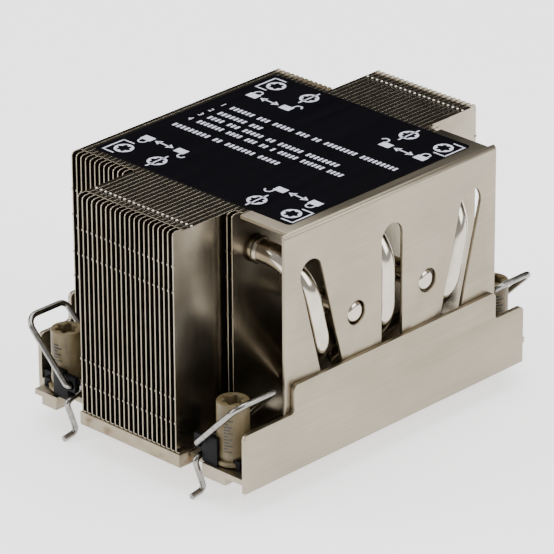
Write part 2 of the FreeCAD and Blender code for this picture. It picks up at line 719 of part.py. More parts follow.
def make_cover():
    """The bent side cover with three pipe slots and two pipe-end holes."""
    body = new_body("side_cover")
    inner = s.cover_outer - s.cover_sheet
    last_fin = s.fin_pitch * (LONG_FINS // 2 + RIGHT_SHORT_FINS + 1) - s.fin_sheet / 2
    seat = s.bracket_seat + s.bracket_sheet
    profile = outline((last_fin, s.pack_top - s.cover_sheet), (inner, s.pack_top - s.cover_sheet),
                      (inner, seat), (s.cover_outer, seat),
                      (s.cover_outer, s.pack_top, s.cover_bend), (last_fin, s.pack_top))
    pad(body, "cover_sheet", "XZ_Plane", profile, -s.cover_half, s.cover_half)
    for end in (-1, 1):
        low, high = sorted([end * s.cover_top_half, end * (s.cover_half + s.join)], key=float)
        trim = rectangle(last_fin - s.join, low, inner, high)
        pocket(body, f"cover_trim_{end + 1}", "XY_Plane", trim,
               s.pack_top - s.cover_sheet * 2, s.pack_top + s.join)
    for number, row in enumerate((-1, 0, 1), start=1):
        lean = s.slot_lean * row
        head = s.outer_run_y * row - lean * (s.outer_run - s.slot_top)
        foot = s.outer_run_y * row - lean * (s.outer_run - s.slot_bottom)
        slot = pipe_slot((foot, s.slot_bottom), (head, s.slot_top), s.slot_half_width)
        pocket(body, f"cover_slot_{number}", "YZ_Plane", slot, inner - s.join,
               s.cover_outer + s.join)
    for number, row in enumerate((-1, 1), start=1):
        hole = circle(s.inner_run_y * row, s.inner_run, s.cover_hole)
        pocket(body, f"cover_hole_{number}", "YZ_Plane", hole, inner - s.join,
               s.cover_outer + s.join)
    return body


def pipe_slot(low, high, radius):
    """A drawing function for a round-ended slot."""
    return lambda sketch: draw_slot(sketch, low, high, radius)


# ---------------------------------------------------------------- corner hardware

def star(sketch):
    """The socket's star outline, worked out by a loop."""
    corners = []
    for number in range(2 * SOCKET_POINTS):
        reach = s.socket_valley if number % 2 else s.socket_point
        turn = math.pi * number / SOCKET_POINTS
        corners.append((reach * math.cos(turn), reach * math.sin(turn)))
    draw_outline(sketch, corners)


def make_nut(name, side, end):
    """One captive nut: collar, barrel, star socket at the top and stud bore from below."""
    body = new_body(name)
    foot = s.bracket_seat + s.bracket_sheet + s.running_gap
    collar = many_sided(zero, zero, s.nut_collar)
    pad(body, f"{name}_collar", "XY_Plane", collar, foot, foot + s.nut_collar_height)
    barrel = many_sided(zero, zero, s.nut_radius)
    pad(body, f"{name}_barrel", "XY_Plane", barrel, foot, s.nut_top)
    pocket(body, f"{name}_socket", "XY_Plane", star, s.nut_top - s.socket_depth, s.nut_top)
    bore = circle(zero, zero, s.nut_bore)
    pocket(body, f"{name}_bore", "XY_Plane", bore, foot, foot + s.nut_bore_depth)
    bind(body, "Placement.Base.x", side * s.nut_x)
    bind(body, "Placement.Base.y", end * s.nut_y)
    return body


def many_sided(x, y, radius):
    """A drawing function for a round piece or hole with few enough facets."""
    corners = []
    for number in range(NUT_SIDES):
        turn = 2 * math.pi * number / NUT_SIDES
        corners.append((x + radius * math.cos(turn), y + radius * math.sin(turn)))
    return outline(*corners)


def make_carrier(name, side, end):
    """One nut carrier: plate with a lip over the nut's collar, two hinge ears and a stop."""
    body = new_body(name)
    seat = s.bracket_seat + s.bracket_sheet
    plate_top = seat + s.carrier_plate
    inner_ear_face = s.wire_inner_y + s.wire_radius + s.running_gap
    ear_face = s.wire_outer_y - s.wire_radius - s.running_gap
    ear_side = s.carrier_inner_x + s.ear_width
    rib_side = ear_side + s.rib_width

    def corner_box(x_low, x_high, y_low, y_high):
        """A rectangle given for the corner at +X and +Y, drawn in this carrier's corner."""
        x_low, x_high = sorted([side * as_size(x_low), side * as_size(x_high)], key=float)
        y_low, y_high = sorted([end * as_size(y_low), end * as_size(y_high)], key=float)
        return rectangle(x_low, y_low, x_high, y_high)

    def box(part, x_low, x_high, y_low, y_high, top):
        """Pad one block of the carrier, up from the bracket."""
        shape = corner_box(x_low, x_high, y_low, y_high)
        return pad(body, f"{name}_{part}", "XY_Plane", shape, seat, top)

    box("plate", s.carrier_inner_x, s.carrier_outer_x, inner_ear_face, s.plate_front, plate_top)
    box("ear_foot", s.carrier_inner_x, rib_side, s.nut_y, ear_face, plate_top)
    box("outer_ear", s.carrier_inner_x, ear_side, ear_face - s.ear_sheet, ear_face, s.ear_top)
    box("rib", ear_side - s.join, rib_side, ear_face - s.ear_sheet, ear_face, s.rib_top)
    box("inner_ear", s.carrier_inner_x, ear_side, inner_ear_face,
        inner_ear_face + s.inner_ear_sheet, s.ear_top)
    wall_face = s.wall_outer - s.wall_sheet - s.flange_gap
    box("stop_arm", s.carrier_outer_x - s.join, wall_face, s.stop_near_y, s.stop_far_y,
        seat + s.carrier_plate / 2)
    box("stop", s.stop_inner_x, wall_face, s.stop_near_y, s.stop_far_y, s.stop_top)
    slot_side = s.hinge_x + s.wire_radius + s.running_gap
    slot = corner_box(s.carrier_inner_x - s.join, slot_side, s.hook_slot_y, ear_face + s.join)
    pocket(body, f"{name}_hook_slot", "XY_Plane", slot, seat - s.join, s.hook_slot_top)
    centre = (side * s.nut_x, end * s.nut_y)
    lip = many_sided(*centre, s.nut_radius + s.running_gap)
    pocket(body, f"{name}_lip_bore", "XY_Plane", lip, seat, s.rib_top + s.join)
    nest = many_sided(*centre, s.nut_collar + s.running_gap)
    pocket(body, f"{name}_nest", "XY_Plane", nest, seat, plate_top - s.carrier_lip)
    for ear, face, sheet in (("outer", ear_face - s.ear_sheet, s.ear_sheet),
                             ("inner", inner_ear_face, s.inner_ear_sheet)):
        low, high = sorted([end * (face - s.join), end * (face + sheet + s.join)], key=float)
        axle = hexagon(side * s.hinge_x, s.hinge_height, s.wire_radius + s.running_gap)
        pocket(body, f"{name}_{ear}_eye", "XZ_Plane", axle, low, high)
    return body


def hexagon(x, y, apothem):
    """A drawing function for a six-sided hole round a centre."""
    corners = []
    for number in range(6):
        turn = math.pi / 3 * number
        reach = apothem / math.cos(math.pi / 6)
        corners.append((x + reach * math.cos(turn), y + reach * math.sin(turn)))
    return outline(*corners)


def make_wire(name, side, end):
    """One anti-tilt wire, bent from one rod.

    In order: short pin, outer arm, far bar, inner arm, long pin, and the hook that comes out
    under the outer ear.
    """
    tilt = math.radians(float(s.wire_lean))
    arm = Vector(side * math.sin(tilt), 0, math.cos(tilt)) * float(s.wire_arm)

    def on_axis(along, drop=zero):
        """A point in the hinge's upright plane, at a place along it and a drop below the axis."""
        return point(side * s.hinge_x, end * along, s.hinge_height - drop)

    outer_hinge = on_axis(s.wire_outer_y)
    inner_hinge = on_axis(s.wire_inner_y)
    bends = [(outer_hinge, s.wire_pin_bend), (outer_hinge + arm, s.wire_outer_bend),
             (inner_hinge + arm, s.wire_inner_bend), (inner_hinge, s.wire_pin_bend),
             (on_axis(s.drop_y), s.wire_pin_bend),
             (on_axis(s.drop_y, s.drop_foot), s.wire_pin_bend),
             (on_axis(s.hook_neck_y, s.hook_neck), s.hook_bend),
             (on_axis(s.hook_heel_y, s.hook_heel), s.hook_bend)]
    corners = [corner for corner, _ in bends]
    points = [on_axis(s.stub_end), *corners, on_axis(s.hook_tip_y, s.hook_tip)]
    rim = polygon_rim(points[0], Vector(1, 0, 0), Vector(0, 0, 1), float(s.wire_radius), WIRE_SIDES)
    sections = rod_sections(rim, points, [float(radius) for _, radius in bends], WIRE_BEND_STEPS)
    return as_feature(name, loft(sections))


# ---------------------------------------------------------------- label

def make_label():
    """The thin label on top of the fins and the cover."""
    body = new_body("top_label")
    cut = s.label_corner
    film = outline((cut - s.label_left, -s.label_front), (s.label_right - cut, -s.label_front),
                   (s.label_right, cut - s.label_front), (s.label_right, s.label_back - cut),
                   (s.label_right - cut, s.label_back), (cut - s.label_left, s.label_back),
                   (-s.label_left, s.label_back - cut), (-s.label_left, cut - s.label_front))
    pad(body, "label_film", "XY_Plane", film, s.pack_top, s.pack_top + s.label_film)
    return body


# ---------------------------------------------------------------- assembly

def build():
    """Make every sub-part and return them by node name."""
    nodes = {}
    routes = pipe_routes()
    nodes["base_plate"] = make_base(routes)
    nodes["bracket_right"] = make_bracket("bracket_right", 0)
    nodes["bracket_left"] = make_bracket("bracket_left", 180)
    nodes["side_cover"] = make_cover()
    nodes["top_label"] = make_label()
    for number, route in enumerate(routes, start=1):
        nodes[f"heat_pipe_{number}"] = make_pipe(f"heat_pipe_{number}", route)
    left_edge = -float(s.fin_pitch) * (LEFT_SHORT_FINS + LONG_FINS // 2 + 1)
    right_edge = float(s.cover_outer) - float(s.cover_sheet)
    channels = make_channels("pipe_channels", routes, INNER_FIN_HOLE_SIDES, left_edge,
                             right_edge)
    round_channels = make_channels("round_pipe_channels", routes, OUTER_FIN_HOLE_SIDES,
                                   left_edge, right_edge)
    first_step = -(LONG_FINS // 2) - LEFT_SHORT_FINS
    total = LEFT_SHORT_FINS + LONG_FINS + RIGHT_SHORT_FINS
    for number in range(total):
        step = first_step + number
        half = s.long_fin_half if abs(step) <= LONG_FINS // 2 else s.short_fin_half
        name = f"fin_{number + 1:02d}"
        outermost = number in (0, total - 1)
        nodes[name] = make_fin(name, step, half, round_channels if outermost else channels)
    for side, left_or_right in ((1, "right"), (-1, "left")):
        for end, front_or_back in ((-1, "front"), (1, "back")):
            place = f"{front_or_back}_{left_or_right}"
            nodes[f"nut_{place}"] = make_nut(f"nut_{place}", side, end)
            nodes[f"carrier_{place}"] = make_carrier(f"carrier_{place}", side, end)
            nodes[f"wire_{place}"] = make_wire(f"wire_{place}", side, end)
    return nodes


def check_and_export(nodes):
    """Recompute, refuse any failed or invalid object, then write one file for each node."""
    doc.recompute()
    for item in doc.Objects:
        if "Invalid" in item.State or "Error" in item.State:
            raise RuntimeError(f"{item.Name} failed: {item.State}")
    for name, item in nodes.items():
        if item.Shape.isNull() or not item.Shape.isValid():
            raise RuntimeError(f"{name} has no valid shape")
        if len(item.Shape.Solids) != 1:
            raise RuntimeError(f"{name} has {len(item.Shape.Solids)} solids")
    os.makedirs("parts", exist_ok=True)
    for name, item in nodes.items():
        item.Shape.exportStep(f"parts/{name}.step")
        print(name, round(item.Shape.Volume, 2))


check_and_export(build())
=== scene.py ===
"""Passive server processor heatsink, dressed for a product picture.

Everything is in metres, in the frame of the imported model: +Z up from the contact face, +Y along
the fins, +X towards the side cover.
"""
import bmesh
import bpy
import json
import math
from mathutils import Matrix, Quaternion, Vector


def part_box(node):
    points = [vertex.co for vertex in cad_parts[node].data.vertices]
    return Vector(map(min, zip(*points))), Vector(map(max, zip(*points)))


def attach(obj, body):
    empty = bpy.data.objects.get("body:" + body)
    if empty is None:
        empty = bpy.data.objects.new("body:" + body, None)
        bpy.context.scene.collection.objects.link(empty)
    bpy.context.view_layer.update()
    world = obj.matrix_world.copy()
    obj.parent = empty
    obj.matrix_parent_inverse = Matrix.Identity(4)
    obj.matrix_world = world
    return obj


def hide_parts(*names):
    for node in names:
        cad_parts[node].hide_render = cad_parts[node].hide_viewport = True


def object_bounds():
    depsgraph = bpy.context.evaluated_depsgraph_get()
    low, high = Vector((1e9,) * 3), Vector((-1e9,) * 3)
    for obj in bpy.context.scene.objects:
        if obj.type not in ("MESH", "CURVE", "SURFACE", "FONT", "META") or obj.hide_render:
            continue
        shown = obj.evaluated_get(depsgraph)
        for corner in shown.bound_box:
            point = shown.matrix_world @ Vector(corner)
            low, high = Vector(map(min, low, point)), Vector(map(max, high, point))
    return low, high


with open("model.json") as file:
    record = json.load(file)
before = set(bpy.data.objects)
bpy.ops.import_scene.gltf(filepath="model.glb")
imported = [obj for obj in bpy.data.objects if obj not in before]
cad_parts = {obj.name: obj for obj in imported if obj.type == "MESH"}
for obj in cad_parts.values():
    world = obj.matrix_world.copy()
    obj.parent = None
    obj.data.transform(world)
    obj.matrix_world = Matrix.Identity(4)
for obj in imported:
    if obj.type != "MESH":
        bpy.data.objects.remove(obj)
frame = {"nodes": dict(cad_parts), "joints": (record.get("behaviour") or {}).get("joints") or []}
cad_box = [list(corner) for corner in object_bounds()]
mm = 0.001


# ---- Folded fins
# Thirty-five thin copper sheets, nickel-plated, each folded over at the top and the foot so that
# its flange closes the gap to the next one. Pressed beads near the long fins' ends and clips on
# all fins' edges lock each sheet into its neighbour, like a zip.

def linear(code):
    """A colour written as sRGB hex, as linear red, green, blue and alpha."""
    channels = [int(code[place:place + 2], 16) / 255 for place in (1, 3, 5)]
    mixed = [part / 12.92 if part <= 0.04045 else ((part + 0.055) / 1.055) ** 2.4
             for part in channels]
    return (*mixed, 1.0)


def add_node(tree, kind, settings=None, links=None, stops=()):
    """Add one shader node, set its sockets, properties and colour stops, and link its inputs."""
    node = tree.nodes.new(kind)
    for name, value in (settings or {}).items():
        if name in node.inputs:
            node.inputs[name].default_value = value
        else:
            setattr(node, name, value)
    for name, source in (links or {}).items():
        tree.links.new(source, node.inputs[name])
    for index, (place, code) in enumerate(stops):
        elements = node.color_ramp.elements
        element = elements[index] if index < 2 else elements.new(place)
        element.position, element.color = place, linear(code)
    return node


def new_material(name, settings):
    """A material with one principled shader, and that shader and its tree."""
    material = bpy.data.materials.new(name)
    material.use_nodes = True
    tree = material.node_tree
    shader = tree.nodes["Principled BSDF"]
    for socket, value in settings.items():
        shader.inputs[socket].default_value = value
    return material, tree, shader


def grain(tree, spacing, detail=2.0):
    """Noise whose features have a real spacing in millimetres along X, Y and Z."""
    place = add_node(tree, "ShaderNodeTexCoord")
    stretch = add_node(tree, "ShaderNodeMapping",
                       {"Scale": [1 / (step * mm) for step in spacing]},
                       {"Vector": place.outputs["Object"]})
    return add_node(tree, "ShaderNodeTexNoise", {"Scale": 1.0, "Detail": detail},
                    {"Vector": stretch.outputs["Vector"]})


def lay_finish(tree, shader, tint, stops, rough=None, relief=None):
    """Lead patterns into a surface's colour, and where given its roughness and relief.

    stops are (place, hex colour), rough is (pattern, smoothest, roughest) and relief is
    (pattern, strength, height in millimetres). Returns the node that holds the colours.
    """
    tone = add_node(tree, "ShaderNodeValToRGB", links={"Fac": tint.outputs["Fac"]}, stops=stops)
    tree.links.new(tone.outputs["Color"], shader.inputs["Base Color"])
    if rough:
        pattern, smoothest, roughest = rough
        span = add_node(tree, "ShaderNodeMapRange", {"To Min": smoothest, "To Max": roughest},
                        {"Value": pattern.outputs["Fac"]})
        tree.links.new(span.outputs["Result"], shader.inputs["Roughness"])
    if relief:
        pattern, strength, height = relief
        bump = add_node(tree, "ShaderNodeBump", {"Strength": strength, "Distance": height * mm},
                        {"Height": pattern.outputs["Fac"]})
        tree.links.new(bump.outputs["Normal"], shader.inputs["Normal"])
    return tone


def rolled_nickel():
    """Nickel plate on rolled copper sheet: warm dark grey, with soft rolling lines up it."""
    material, tree, shader = new_material("rolled_nickel", {"Metallic": 1.0})
    # Rolling lines are really 0.1 mm apart; these are as fine as a view of the whole part shows.
    lines = grain(tree, (2.0, 1.3, 16.0))
    clouds = grain(tree, (18.0, 12.0, 9.0))
    lay_finish(tree, shader, clouds, [(0.3, "#8A8171"), (0.7, "#9F9686")],
               (lines, 0.22, 0.29), (lines, 0.05, 0.02))
    return material


def burnished_nickel():
    """The pressed beads where the sheets snap together: pale bright plate, a painted highlight on
    each bead.
    """
    material, tree, shader = new_material("burnished_nickel", {"Metallic": 0.35})
    bead_speckle = grain(tree, (0.6, 0.6, 0.6))
    # The pale colours are painted highlight, so each bead shines bright from any side.
    lay_finish(tree, shader, bead_speckle, [(0.3, "#DED7C8"), (0.7, "#EEE9DD")], (bead_speckle, 0.24, 0.36))
    return material


def new_object(name, mesh, material):
    """Link a mesh as a piece with one material."""
    piece = bpy.data.objects.new(name, mesh)
    bpy.context.scene.collection.objects.link(piece)
    piece.data.materials.append(material)
    return piece


def soften(piece, width, segments=2, angle=35):
    """Break a piece's sharp edges, by a width in millimetres, and shade it smooth between."""
    bevel = piece.modifiers.new("edges", "BEVEL")
    bevel.width = width * mm
    bevel.segments = segments
    bevel.limit_method = "ANGLE"
    bevel.angle_limit = math.radians(angle)
    bevel.harden_normals = True
    for face in piece.data.polygons:
        face.use_smooth = True


def prism(mesh, outline, low, high, place):
    """Add a closed prism. place(a, b, level) turns an outline point and a level into a point."""
    bottom = [mesh.verts.new(place(*spot, low)) for spot in outline]
    top = [mesh.verts.new(place(*spot, high)) for spot in outline]
    mesh.faces.new(bottom[::-1])
    mesh.faces.new(top)
    for index in range(len(outline)):
        after = (index + 1) % len(outline)
        mesh.faces.new((bottom[index], bottom[after], top[after], top[index]))


def across(y, z, x):
    """Outline in the Y-Z plane, thickness along X, in millimetres."""
    return (x * mm, y * mm, z * mm)


def along(x, z, y):
    """Outline in the X-Z plane, thickness along Y, in millimetres."""
    return (x * mm, y * mm, z * mm)


def upward(x, y, z):
    """Outline in the X-Y plane, thickness along Z, in millimetres."""
    return (x * mm, y * mm, z * mm)


def to_mesh(name, mesh):
    """Finish a bmesh with outward faces and hand it over as mesh data."""
    bmesh.ops.recalc_face_normals(mesh, faces=mesh.faces)
    data = bpy.data.meshes.new(name)
    mesh.to_mesh(data)
    mesh.free()
    return data


def corner_arc(centre, radius, start, end, steps):
    """Points on an arc, angles in degrees."""
    turns = [math.radians(start + (end - start) * step / steps) for step in range(steps + 1)]
    return [(centre[0] + radius * math.cos(turn), centre[1] + radius * math.sin(turn))
            for turn in turns]


# Sizes are in millimetres. A clip's heights are above the contact face; it grows from inside the
# fin's edge, stands a little past it and laps both faces of the sheet.
FIN_SHEET = 0.36
FIN_PITCH = 1.654
FIN_CORNER_RADIUS = 1.2
FIN_CORNER_STEPS = 5
FIN_EDGE = 0.09
FOLD_EASE, FOLD_FACET = 0.25, 0.08
FLANGE_BACK = 2.9
FLANGE_SLIT = 0.3
LONG_FIN = 45
LONG_FIN_CLIPS = (54.5, 47.5, 18.7, 11.9)
SHORT_FIN_CLIPS = (53.5, 46.5, 36.2, 29.5)
CLIP_ROOT, CLIP_REACH = 0.5, 0.2
CLIP_HALF_HEIGHT = 0.3
CLIP_NEAR_LAP, CLIP_FAR_LAP = 0.1, 0.18
BEAD_ROW = 5.9
BEAD_RADIUS = 0.42
BEAD_ASIDE = 0.85
BEAD_SINK = Vector((0.0, 0.0, 0.22 * mm))
fin_finish = rolled_nickel()


def fin_mesh(name, low, high):
    """One fin: rounded web, top and foot flanges, and edge clips."""
    x = low.x / mm
    half = high.y / mm
    foot, top = low.z / mm, high.z / mm
    mesh = bmesh.new()
    radius = FIN_CORNER_RADIUS
    web = [(-half, foot), (half, foot)]
    web += corner_arc((half - radius, top - radius), radius, 0, 90, FIN_CORNER_STEPS)
    web += corner_arc((radius - half, top - radius), radius, 90, 180, FIN_CORNER_STEPS)
    prism(mesh, web, x, x + FIN_SHEET, across)
    right = x + FIN_PITCH - FLANGE_SLIT
    bend = [(x + FIN_SHEET / 2, top - FIN_SHEET), (right, top - FIN_SHEET), (right, top),
            (x + FOLD_EASE, top), (x + FOLD_FACET, top - FOLD_FACET), (x, top - FOLD_EASE),
            (x, top - FIN_SHEET)]
    reach = half - FLANGE_BACK
    prism(mesh, bend, -reach, reach, along)
    prism(mesh, [(x, foot), (right, foot), (right, foot + FIN_SHEET), (x, foot + FIN_SHEET)],
          -half, half, along)
    for end in (-1, 1):
        near, far = sorted((end * (half - CLIP_ROOT), end * (half + CLIP_REACH)))
        for height in LONG_FIN_CLIPS if half > LONG_FIN else SHORT_FIN_CLIPS:
            below, above = height - CLIP_HALF_HEIGHT, height + CLIP_HALF_HEIGHT
            clip = [(near, below), (far, below), (far, above), (near, above)]
            prism(mesh, clip, x - CLIP_NEAR_LAP, x + FIN_SHEET + CLIP_FAR_LAP, across)
    return to_mesh(name, mesh)


beads = bmesh.new()
for node in sorted(frame["nodes"]):
    if node.startswith("fin_"):
        low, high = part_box(node)
        fin = new_object(f"dressed_{node}", fin_mesh(node, low, high), fin_finish)
        soften(fin, FIN_EDGE)
        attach(fin, "heatsink")
        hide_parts(node)
        if high.y > LONG_FIN * mm:
            for end in (-1, 1):
                spot = Vector((low.x + BEAD_ASIDE * mm, end * (high.y - BEAD_ROW * mm), high.z))
                bmesh.ops.create_icosphere(beads, subdivisions=2, radius=BEAD_RADIUS * mm,
                                           matrix=Matrix.Translation(spot - BEAD_SINK))
# The beads carry a pale colour that paints their highlight.
bead_row = new_object("interlock_beads", to_mesh("interlock_beads", beads), burnished_nickel())
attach(bead_row, "heatsink")


# ---- Base plate
# A milled copper block under the whole pack, nickel-plated: a long strip with a wider middle.
# Milling leaves short marks across it, and solder flux has stained its front edge a little.

JOINED_WITHIN = 0.002
FLAT_WITHIN = 1.0
PLATE_EDGE = 0.25


def dressed_copy(node, material, body, width):
    """A copy of a CAD node with its flat faces joined and its edges broken."""
    mesh = bmesh.new()
    mesh.from_mesh(frame["nodes"][node].data)
    bmesh.ops.remove_doubles(mesh, verts=mesh.verts, dist=JOINED_WITHIN * mm)
    bmesh.ops.dissolve_limit(mesh, angle_limit=math.radians(FLAT_WITHIN), verts=mesh.verts,
                             edges=mesh.edges)
    piece = new_object(f"dressed_{node}", to_mesh(node, mesh), material)
    soften(piece, width)
    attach(piece, body)
    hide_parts(node)


def milled_nickel():
    """Nickel plate over a milled face: pale and satin, with cloudy brown flux stains."""
    material, tree, shader = new_material("milled_nickel", {"Metallic": 1.0})
    marks = grain(tree, (0.8, 9.0, 0.8))
    stains = grain(tree, (6.0, 7.0, 5.0), 4.0)
    lay_finish(tree, shader, stains, [(0.3, "#66513A"), (0.42, "#8C816D"), (0.75, "#9C927F")],
               (marks, 0.3, 0.48), (marks, 0.2, 0.03))
    return material


dressed_copy("base_plate", milled_nickel(), "heatsink", PLATE_EDGE)


# ---- Brackets and side cover
# Stamped and bent steel sheet, brushed along its length and nickel-plated. The two brackets are
# one part turned half a turn; the cover is slotted where three heat pipes stand in its wall.

def brushed_nickel():
    """Brushed, nickel-plated steel sheet: even warm grey with fine long brush lines."""
    material, tree, shader = new_material(
        "brushed_nickel", {"Metallic": 1.0, "Anisotropic": 0.45, "Anisotropic Rotation": 0.0})
    # Real brush lines are under 0.1 mm apart; 0.25 mm is the finest that still shows.
    lines = grain(tree, (0.25, 22.0, 0.25), 3.0)
    clouds = grain(tree, (30.0, 22.0, 14.0), 3.0)
    tone = lay_finish(tree, shader, clouds, [(0.3, "#958B79"), (0.7, "#A39987")],
                      (lines, 0.3, 0.42), (lines, 0.12, 0.02))
    shade = add_node(tree, "ShaderNodeValToRGB", links={"Fac": lines.outputs["Fac"]},
                     stops=[(0.25, "#E4E4E4"), (0.7, "#FFFFFF")])
    mixed = add_node(tree, "ShaderNodeMix",
                     {"data_type": "RGBA", "blend_type": "MULTIPLY", "Factor": 0.8})
    tree.links.new(tone.outputs["Color"], mixed.inputs[6])
    tree.links.new(shade.outputs["Color"], mixed.inputs[7])
    tree.links.new(mixed.outputs[2], shader.inputs["Base Color"])
    return material


BRACKET_EDGE = 0.22
COVER_EDGE = 0.15
panel_finish = brushed_nickel()
dressed_copy("bracket_right", panel_finish, "heatsink", BRACKET_EDGE)
dressed_copy("bracket_left", panel_finish, "heatsink", BRACKET_EDGE)
dressed_copy("side_cover", panel_finish, "heatsink", COVER_EDGE)


# ---- Heat pipes
# Sealed copper tubes, bent, nickel-plated and polished bright by handling. Their far ends are
# spun shut to a dome. Where one leaves the last fin, the fin's punched collar grips it.

def bright_nickel():
    """Bright nickel on drawn tube: nearly a mirror, a little wavy, with faint drawing lines."""
    material, tree, shader = new_material("bright_nickel", {"Metallic": 1.0})
    waves = grain(tree, (3.0, 3.0, 5.0))
    lay_finish(tree, shader, waves, [(0.3, "#B7AE9F"), (0.7, "#C9C1B3")],
               (waves, 0.1, 0.2), (waves, 0.06, 0.1))
    return material


def bent_path(points, radii, steps):
    """Points along straight runs and tangent arcs, one radius for each inner point."""
    path = [points[0]]
    for before, corner, after, radius in zip(points, points[1:], points[2:], radii):
        back = (before - corner).normalized()
        ahead = (after - corner).normalized()
        half_angle = back.angle(ahead) / 2
        entry = corner + back * (radius / math.tan(half_angle))
        centre = corner + (back + ahead).normalized() * (radius / math.sin(half_angle))
        axis = ahead.cross(back).normalized()
        for step in range(steps + 1):
            turn = Quaternion(axis, (math.pi - 2 * half_angle) * step / steps)
            path.append(centre + turn @ (entry - centre))
    return path + [points[-1]]


def round_bar(name, path, radii, sides):
    """A closed bar along a path in millimetres, with its own radius at each point."""
    mesh = bmesh.new()
    heading = (path[1] - path[0]).normalized()
    side = heading.orthogonal().normalized()
    rings = []
    for index, spot in enumerate(path):
        ahead = path[min(index + 1, len(path) - 1)] - path[max(index - 1, 0)]
        ahead.normalize()
        side = heading.rotation_difference(ahead) @ side
        heading = ahead
        other = heading.cross(side)
        ring = []
        for step in range(sides):
            turn = 2 * math.pi * step / sides
            reach = side * math.cos(turn) + other * math.sin(turn)
            ring.append(mesh.verts.new((spot + reach * radii[index]) * mm))
        rings.append(ring)
    for near, far in zip(rings, rings[1:]):
        for step in range(sides):
            after = (step + 1) % sides
            mesh.faces.new((near[step], near[after], far[after], far[step]))
    mesh.faces.new(rings[0][::-1])
    mesh.faces.new(rings[-1])
    for face in mesh.faces:
        face.smooth = len(face.verts) == 4
    return to_mesh(name, mesh)


def domed(path, radius, depth, crown):
    """Add the rings of a spun dome before a path's first point; return path and radii."""
    back = (path[0] - path[1]).normalized()
    caps, sizes = [], []
    for step in range(DOME_STEPS, 0, -1):
        turn = math.pi / 2 * step / DOME_STEPS
        caps.append(path[0] - back * (depth - depth * math.sin(turn)))
        sizes.append(crown + (radius - crown) * math.cos(turn))
    return caps + [path[0] - back * depth] + path[1:], sizes + [radius] * len(path)


# Sizes are in millimetres. The three upper pipes stand on the cover's side and the two lower ones
# on the other; a row of -2 to 2 is a pipe's place in the base, in steps of BASE_SPACING along Y.
DOME_STEPS = 6
PIPE_ROWS = (-2, 0, 2, -1, 1)
UPPER_PIPES = 3
PIPE_RADIUS = 3.0
PIPE_SIDES = 36
PIPE_BENDS = [11.0, 11.0, 12.0]
PIPE_BEND_STEPS = 14
PIPE_DOME, PIPE_CROWN = 1.6, 1.1
UPPER_KNEE, UPPER_KNEE_LEAN, UPPER_FOOT_X = 28.0, 0.258, 11.3
LOWER_KNEE, LOWER_KNEE_Y, LOWER_FOOT_X = 19.0, 11.0, 20.0
BASE_SPACING, FOOT_HEIGHT, BASE_RUN = 8.2, 3.7, 7.0
COLLAR_ROOT = 0.2
COLLAR_RINGS = ((0.0, 3.75), (0.5, 3.3), (1.1, 3.15))
COLLAR_SIDES = 32
pipe_finish = bright_nickel()
last_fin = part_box("fin_35")[1].x / mm
for number, row in enumerate(PIPE_ROWS, start=1):
    node = f"heat_pipe_{number}"
    low, high = (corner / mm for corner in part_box(node))
    side = 1 if number <= UPPER_PIPES else -1
    run_height = high.z - PIPE_RADIUS
    leg_x = side * (high.x - PIPE_RADIUS)
    outward = row / abs(row) if row else 0
    run_y = outward * (max(abs(low.y), abs(high.y)) - PIPE_RADIUS)
    if side > 0:
        knee_y = run_y - outward * UPPER_KNEE_LEAN * (run_height - UPPER_KNEE)
        knee = Vector((leg_x, knee_y, UPPER_KNEE))
        foot = Vector((UPPER_FOOT_X, row * BASE_SPACING, FOOT_HEIGHT))
        tip = Vector((low.x, run_y, run_height))
    else:
        knee = Vector((leg_x, outward * LOWER_KNEE_Y, LOWER_KNEE))
        foot = Vector((-LOWER_FOOT_X, row * BASE_SPACING, FOOT_HEIGHT))
        tip = Vector((high.x, run_y, run_height))
    shoulder = Vector((leg_x, run_y, run_height))
    end = foot - Vector((side * BASE_RUN, 0, 0))
    path = bent_path([tip, shoulder, knee, foot, end], PIPE_BENDS, PIPE_BEND_STEPS)
    path, radii = domed(path, PIPE_RADIUS, PIPE_DOME, PIPE_CROWN)
    pipe = new_object(f"dressed_{node}", round_bar(node, path, radii, PIPE_SIDES), pipe_finish)
    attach(pipe, "heatsink")
    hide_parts(node)
    root = Vector((last_fin - COLLAR_ROOT, run_y, run_height))
    collar_path = [root + Vector((ahead, 0, 0)) for ahead, _ in COLLAR_RINGS]
    collar_radii = [radius for _, radius in COLLAR_RINGS]
    collar = new_object(f"collar_{number}",
                        round_bar("collar", collar_path, collar_radii, COLLAR_SIDES), fin_finish)
    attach(collar, "heatsink")


# ---- Captive nuts
# Turned and moulded high-temperature plastic (PEEK), tan and slightly waxy, with a six-lobed
# socket at the top, a bore for the board's stud below and a collar held in the carrier. A column
# of short dashes is stamped down the barrel in grey-brown ink.

def tan_peek():
    """Moulded PEEK: tan, a little translucent at the edges, satin with faint flow marks."""
    material, tree, shader = new_material(
        "tan_peek", {"IOR": 1.6, "Specular IOR Level": 0.35, "Subsurface Weight": 0.08,
                     "Subsurface Scale": 0.6 * mm, "Subsurface Radius": (1.0, 0.7, 0.45)})
    flow = grain(tree, (2.5, 2.5, 6.0), 4.0)
    pits = grain(tree, (0.3, 0.3, 0.3))
    lay_finish(tree, shader, flow, [(0.3, "#574A30"), (0.5, "#6B5E42"), (0.72, "#7A6D50")],
               (flow, 0.36, 0.52), (pits, 0.15, 0.03))
    return material


# Sizes are in millimetres; a nut's levels below are each a height and a radius.
SOCKET_LOBES = 6
SOCKET_MEAN = 2.55
SOCKET_SWING = 0.48
SOCKET_LEAD_IN = 0.18
SOCKET_DEPTH = 3.4
SOCKET_CONE = 0.5
NUT_BORE, NUT_BORE_DEPTH = 2.1, 9.0
NUT_NECK, NUT_BARREL, NUT_SHANK = 3.95, 4.25, 4.13
NUT_AROUND = 72
NUT_EDGE = 0.04
NEARLY_SHUT = 0.05


